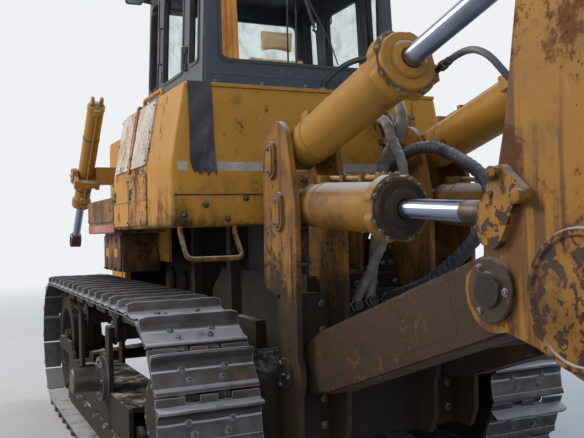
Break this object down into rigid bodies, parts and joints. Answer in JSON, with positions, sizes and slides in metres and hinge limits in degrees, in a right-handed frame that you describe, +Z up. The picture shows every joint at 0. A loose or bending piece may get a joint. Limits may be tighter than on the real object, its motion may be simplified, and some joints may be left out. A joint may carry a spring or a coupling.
{
  "type": "crawler bulldozer with ripper",
  "caption": "Heavy crawler tractor with cab, raised rear ripper and free blade lift cylinders; the blade and its push arms are taken off.",
  "frame": {"origin": "on the ground under the middle of the machine's box", "axes": "+X forward, +Y to the machine's left, +Z up"},
  "size_m": [8.0447, 3.16, 3.97],
  "materials": {
    "yellow_paint": "chipped and dusty orange-yellow paint",
    "dark_paint": "dark blue-grey paint",
    "grimy_steel": "steel under oil and dirt",
    "track_steel": "scratched bare steel",
    "worn_steel": "rusted and rubbed steel",
    "chrome_rod": "polished",
    "clear_glass": "dusty",
    "black_rubber": "matt",
    "seat_cover": "worn",
    "dark_plastic": "matt",
    "rusted_pipe": "rusted"
  },
  "bodies": {
    "hull": {"cab_floor": "dark_paint", "cab_frame": "dark_paint", "cab_glass": "clear_glass", "cab_roof": "dark_paint", "controls": "dark_plastic", "engine_block": "grimy_steel", "equalizer_bar": "grimy_steel", "fuel_tank": "yellow_paint", "grab_rails": "yellow_paint", "hoist_yoke_left": "yellow_paint", "hoist_yoke_right": "yellow_paint", "hood": "yellow_paint", "hood_stacks": "rusted_pipe", "main_case": "grimy_steel", "main_frame": "grimy_steel", "radiator_guard": "yellow_paint", "ripper_bracket": "yellow_paint", "rubber_flap": "black_rubber", "running_gear_left": "worn_steel", "running_gear_right": "worn_steel", "seat": "seat_cover", "side_box_left": "yellow_paint", "side_box_right": "yellow_paint", "step_box_left": "yellow_paint", "step_box_right": "yellow_paint", "track_frame_left": "grimy_steel", "track_frame_right": "grimy_steel", "track_left": "track_steel", "track_right": "track_steel", "work_lamps": "yellow_paint"},
    "ripper_link": {"ripper_link": "yellow_paint"},
    "ripper_pins": {"ripper_pins": "worn_steel"},
    "ripper_beam": {"ripper_beam": "yellow_paint", "ripper_shank": "worn_steel"},
    "lift_barrels": {"lift_barrel_left": "yellow_paint", "lift_barrel_right": "yellow_paint", "lift_hose": "black_rubber"},
    "lift_rods": {"lift_rod_left": "chrome_rod", "lift_rod_right": "chrome_rod"},
    "tilt_barrels": {"tilt_barrel_left": "yellow_paint", "tilt_barrel_right": "yellow_paint", "tilt_hose": "black_rubber"},
    "tilt_rods": {"tilt_rod_left": "chrome_rod", "tilt_rod_right": "chrome_rod"},
    "hoist_barrel_left": {"hoist_barrel_left": "yellow_paint"},
    "hoist_rod_left": {"hoist_rod_left": "chrome_rod"},
    "door_left": {"door_left": "dark_paint", "door_glass_left": "clear_glass"},
    "hoist_barrel_right": {"hoist_barrel_right": "yellow_paint"},
    "hoist_rod_right": {"hoist_rod_right": "chrome_rod"},
    "door_right": {"door_right": "dark_paint", "door_glass_right": "clear_glass"}
  },
  "joints": [
    {"name": "ripper_lift", "type": "hinge", "parent": "hull", "child": "ripper_link", "pos_m": [-0.948, 0, 0.967], "axis": [0, -1, 0], "range_deg": [-3, 33]},
    {"name": "pin_level", "type": "hinge", "parent": "ripper_link", "child": "ripper_pins", "pos_m": [-2.788, 0, 1.575], "axis": [0, -1, 0], "range_deg": [-33.74, 3.08]},
    {"name": "ripper_tilt", "type": "hinge", "parent": "ripper_pins", "child": "ripper_beam", "pos_m": [-2.788, 0, 1.575], "axis": [0, 1, 0], "range_deg": [-4, 24]},
    {"name": "lift_swing", "type": "hinge", "parent": "hull", "child": "lift_barrels", "pos_m": [-0.908, 0, 1.965], "axis": [0, -1, 0], "range_deg": [-2.63, 28.79]},
    {"name": "lift_slide", "type": "slide", "parent": "lift_barrels", "child": "lift_rods", "axis": [-0.9982, 0, -0.0595], "range_m": [-0.03484, 0.3822]},
    {"name": "tilt_swing", "type": "hinge", "parent": "hull", "child": "tilt_barrels", "pos_m": [-0.818, 0, 2.28], "axis": [0, -1, 0], "range_deg": [-2.34, 25.64]},
    {"name": "tilt_slide", "type": "slide", "parent": "tilt_barrels", "child": "tilt_rods", "axis": [-0.968, 0, 0.2511], "range_m": [-0.52523, 0.08762]},
    {"name": "hoist_swing_left", "type": "hinge", "parent": "hull", "child": "hoist_barrel_left", "pos_m": [3.362, 1.025, 2.45], "axis": [0, -0.9993, -0.0384], "range_deg": [-8, 14]},
    {"name": "hoist_slide_left", "type": "slide", "parent": "hoist_barrel_left", "child": "hoist_rod_left", "axis": [0.6428, 0.0294, -0.7655], "range_m": [-0.33, 0.6]},
    {"name": "door_left_swing", "type": "hinge", "parent": "hull", "child": "door_left", "pos_m": [0.389, 0.81727, 2.944], "axis": [0, -0.043, 0.9991], "range_deg": [0, 105]},
    {"name": "hoist_swing_right", "type": "hinge", "parent": "hull", "child": "hoist_barrel_right", "pos_m": [3.362, -1.025, 2.45], "axis": [0, -0.9993, 0.0384], "range_deg": [-8, 14]},
    {"name": "hoist_slide_right", "type": "slide", "parent": "hoist_barrel_right", "child": "hoist_rod_right", "axis": [0.6428, -0.0294, -0.7655], "range_m": [-0.33, 0.6]},
    {"name": "door_right_swing", "type": "hinge", "parent": "hull", "child": "door_right", "pos_m": [0.389, -0.81727, 2.944], "axis": [0, -0.043, -0.9991], "range_deg": [0, 105]}
  ],
  "couplings": [
    {"joint": "pin_level", "follows": "ripper_lift", "ratio": -1.022},
    {"joint": "lift_swing", "follows": "ripper_lift", "ratio": 0.87198},
    {"joint": "lift_slide", "follows": "ripper_lift", "m_per_rad": 0.66342},
    {"joint": "tilt_swing", "follows": "ripper_lift", "ratio": 0.77678},
    {"joint": "tilt_slide", "follows": "ripper_tilt", "m_per_rad": -1.2537}
  ]
}
